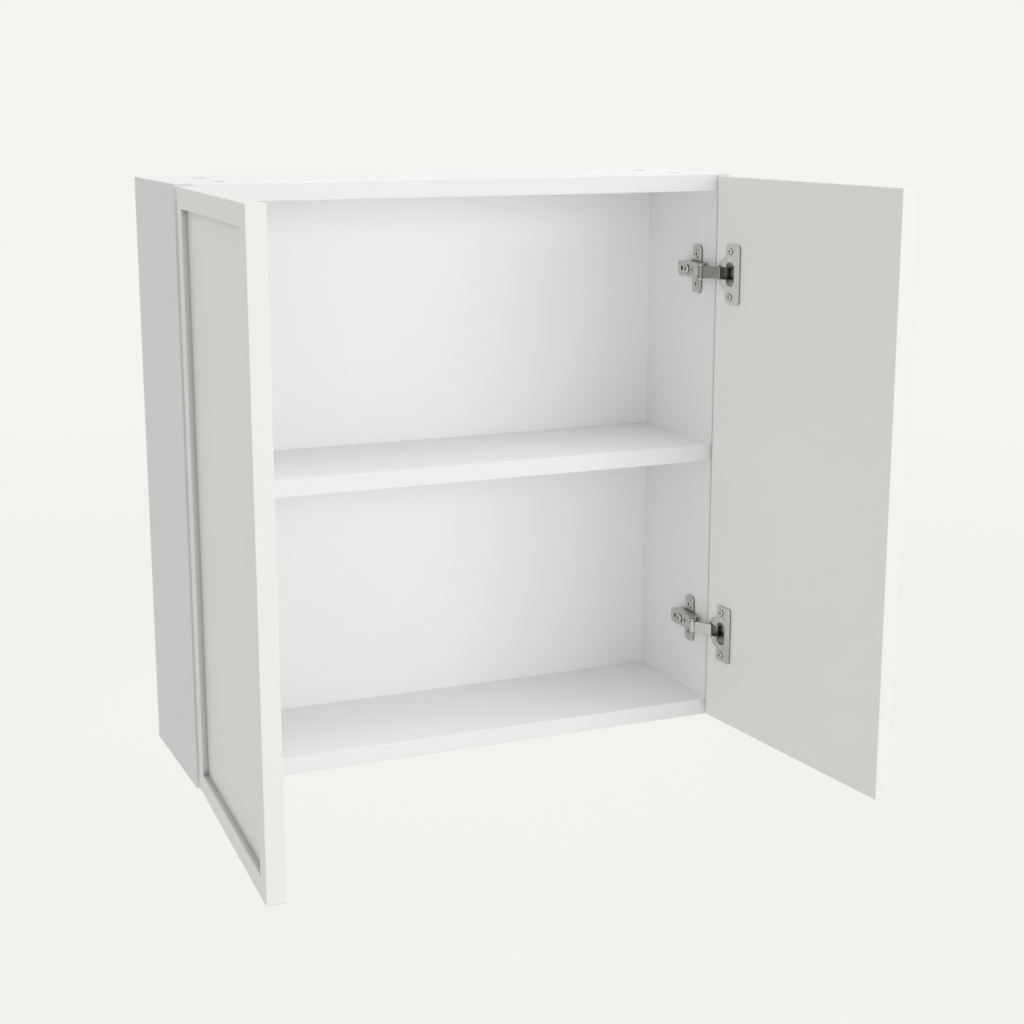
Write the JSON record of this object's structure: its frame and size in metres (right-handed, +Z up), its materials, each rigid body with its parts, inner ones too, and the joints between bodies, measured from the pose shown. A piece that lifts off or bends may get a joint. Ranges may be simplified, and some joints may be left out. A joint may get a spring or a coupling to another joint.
{
  "type": "hanging wall cabinet",
  "caption": "Wall-hung cupboard with recessed-panel doors on concealed hinges, a fixed shelf and keyhole hangers behind.",
  "frame": {"origin": "on the wall plane, midway between the two wall screws where they enter the keyholes", "axes": "+Z up, +X to the right seen from the front, +Y into the wall; the doors are on the -Y side"},
  "size_m": [0.6376, 0.4718, 0.6008],
  "materials": {
    "white_board": "white melamine, satin",
    "white_door": "white lacquer, satin",
    "back_board": "white lacquered fibreboard, satin",
    "raw_board": "unfinished board, matt",
    "beech": "unfinished beech, matt",
    "zinc_cast": "cast zinc alloy, matt",
    "zinc_steel": "zinc plated, satin",
    "cap_plastic": "white, matt",
    "nickel_plate": "nickel plated, satin",
    "nickel_cup": "nickel plated, satin",
    "screw_steel": "nickel plated, satin",
    "link_steel": "nickel plated, satin"
  },
  "bodies": {
    "carcass": {"left_side_panel": "white_board", "right_side_panel": "white_board", "top_panel": "white_board", "bottom_panel": "white_board", "shelf": "white_board", "back_panel": "back_board", "upper_rear_rail": "raw_board", "lower_rear_rail": "raw_board", "dowels": "beech", "cam_bolts": "zinc_steel", "cam_locks": "zinc_cast", "cam_caps": "cap_plastic", "left_wall_hanger": "zinc_steel", "right_wall_hanger": "zinc_steel", "hanger_screws": "zinc_steel", "left_upper_mounting_plate": "nickel_plate", "left_lower_mounting_plate": "nickel_plate", "right_upper_mounting_plate": "nickel_plate", "right_lower_mounting_plate": "nickel_plate", "plate_screws": "screw_steel", "left_upper_hinge_arm": "nickel_plate", "left_lower_hinge_arm": "nickel_plate", "right_upper_hinge_arm": "nickel_plate", "right_lower_hinge_arm": "nickel_plate", "arm_fixing_screws": "screw_steel", "arm_adjusting_screws": "screw_steel", "arm_pins": "link_steel"},
    "left_hinge_links": {"left_links": "link_steel"},
    "right_hinge_links": {"right_links": "link_steel"},
    "left_door": {"left_door_panel": "white_door", "left_upper_hinge_cup": "nickel_cup", "left_lower_hinge_cup": "nickel_cup", "left_cup_screws": "screw_steel", "left_cup_pins": "link_steel"},
    "right_door": {"right_door_panel": "white_door", "right_upper_hinge_cup": "nickel_cup", "right_lower_hinge_cup": "nickel_cup", "right_cup_screws": "screw_steel", "right_cup_pins": "link_steel"}
  },
  "joints": [
    {"name": "left_link_swing", "type": "hinge", "parent": "carcass", "child": "left_hinge_links", "pos_m": [-0.266, -0.166, -0.048], "axis": [0, 0, 1], "range_deg": [-16.79, 2.21]},
    {"name": "left_door_swing", "type": "hinge", "parent": "left_hinge_links", "child": "left_door", "pos_m": [-0.28581, -0.18345, -0.048], "axis": [0, 0, 1], "range_deg": [-14.16, 109.74]},
    {"name": "right_link_swing", "type": "hinge", "parent": "carcass", "child": "right_hinge_links", "pos_m": [0.266, -0.166, -0.048], "axis": [0, 0, 1], "range_deg": [-1.85, 17.15]},
    {"name": "right_door_swing", "type": "hinge", "parent": "right_hinge_links", "child": "right_door", "pos_m": [0.2857, -0.18357, -0.048], "axis": [0, 0, 1], "range_deg": [-112.1, 11.8]}
  ],
  "couplings": [
    {"joint": "left_link_swing", "follows": "left_door_swing", "ratio": -0.15254},
    {"joint": "right_link_swing", "follows": "right_door_swing", "ratio": -0.15254}
  ]
}
